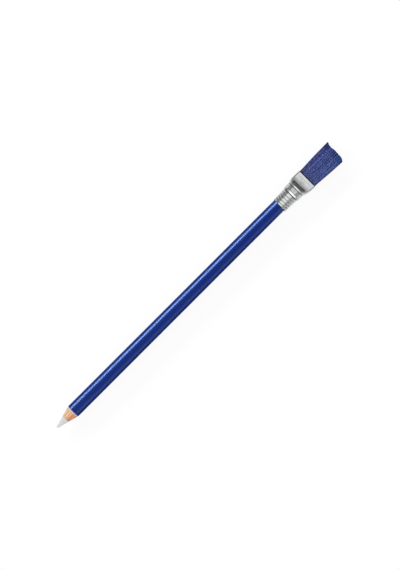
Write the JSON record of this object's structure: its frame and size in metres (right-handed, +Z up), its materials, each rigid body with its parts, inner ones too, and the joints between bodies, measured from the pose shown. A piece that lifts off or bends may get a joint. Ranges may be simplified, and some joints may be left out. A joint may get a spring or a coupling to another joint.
{
  "type": "eraser pencil with brush",
  "caption": "Wooden eraser pencil: white rubber core sharpened to a blunt cone, blue lacquered round barrel, crimped metal ferrule and a flat blue filament brush",
  "frame": {"origin": "on the surface that the object lies on, under the middle of its box", "axes": "+X runs along the pencil from the eraser point to the brush, +Z is up, out of the broad face of the brush, and +Y completes the right-handed frame"},
  "size_m": [0.2056, 0.0132, 0.0101],
  "materials": {
    "wood": "bare light softwood as the sharpener left it, fine grain along the pencil",
    "eraser_rubber": "matte white eraser rubber, slightly grainy where it was sharpened",
    "primer": "matte pinkish white ground coat",
    "lacquer": "dark blue gloss lacquer",
    "ferrule_metal": "bright rolled sheet with pressed rings, lightly scuffed",
    "resin": "clear amber set resin, hidden inside the ferrule",
    "filament": "blue-violet nylon filaments with a soft sheen along them"
  },
  "bodies": {
    "root": {"casing_left": "wood", "casing_right": "wood", "eraser_core": "eraser_rubber", "primer_coat": "primer", "lacquer_coat": "lacquer", "ferrule": "ferrule_metal", "bristle_binder": "resin", "bristles": "filament"}
  },
  "joints": []
}
